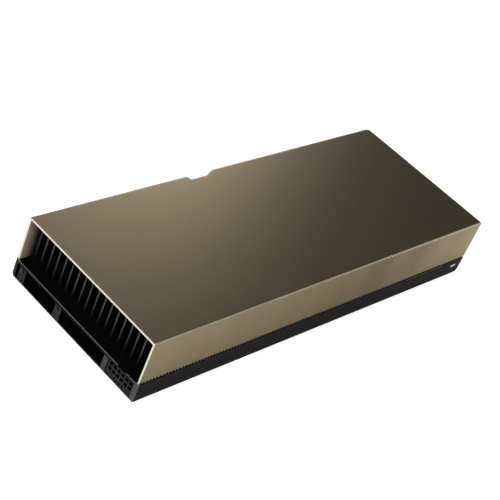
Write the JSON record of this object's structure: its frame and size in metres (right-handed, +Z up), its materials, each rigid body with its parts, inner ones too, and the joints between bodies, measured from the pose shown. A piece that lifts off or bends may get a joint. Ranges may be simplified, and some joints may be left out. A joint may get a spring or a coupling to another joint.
{
  "type": "passive accelerator card",
  "caption": "Double-width passive accelerator card: fluted bronze-gold cover over black fins, black frame with power header and mounting posts at the air inlet, slot contacts on one long side.",
  "frame": {"origin": "middle of the card's outline, slot tab included, on the face that it lies on", "axes": "+X along the card from the air inlet and power header to the far end, +Y across it towards the slot contacts, +Z up from the back plate to the cover"},
  "size_m": [0.2676, 0.1112, 0.0385],
  "materials": {
    "fluted_shell": "satin bronze-gold anodised, fine grain, fluted long sides",
    "cast_black": "fine textured black paint on a casting",
    "plate_black": "black painted sheet",
    "cap_black": "moulded black, fine texture",
    "lens_white": "milky light guide",
    "board_dark": "black-green solder mask",
    "contact_gold": "gold plated",
    "substrate_green": "green laminate",
    "ring_nickel": "nickel plated",
    "silicon": "polished silicon",
    "chip_black": "moulded epoxy",
    "paste_grey": "soft paste",
    "copper": "satin copper",
    "fin_black": "black anodised sheet, bare grey edges",
    "coil_grey": "moulded ferrite",
    "pad_grey": "soft thermal pad",
    "capacitor_tan": "moulded, tan",
    "can_silver": "bare can",
    "header_black": "moulded nylon, dark grey",
    "pin_tin": "tin plated",
    "insert_steel": "turned, passivated",
    "screw_black": "black oxide"
  },
  "bodies": {
    "root": {"top_cover": "fluted_shell", "base_frame": "cast_black", "back_plate": "plate_black", "bridge_cover": "cap_black", "status_lens": "lens_white", "circuit_board": "board_dark", "edge_contacts": "contact_gold", "bridge_contacts": "contact_gold", "processor_substrate": "substrate_green", "package_ring": "ring_nickel", "processor_die": "silicon", "memory_stacks": "chip_black", "thermal_paste": "paste_grey", "vapour_chamber": "copper", "heatsink_base": "fin_black", "fin_stack": "fin_black", "power_coils": "coil_grey", "coil_pads": "pad_grey", "power_stages": "chip_black", "input_capacitors": "capacitor_tan", "firmware_chip": "chip_black", "clock_crystal": "can_silver", "controller_chip": "chip_black", "power_header": "header_black", "power_pins": "pin_tin", "signal_pins": "pin_tin", "post_inserts": "insert_steel", "back_plate_screws": "screw_black", "board_standoffs": "insert_steel", "heatsink_screws": "screw_black", "cover_screws": "screw_black"}
  },
  "joints": []
}
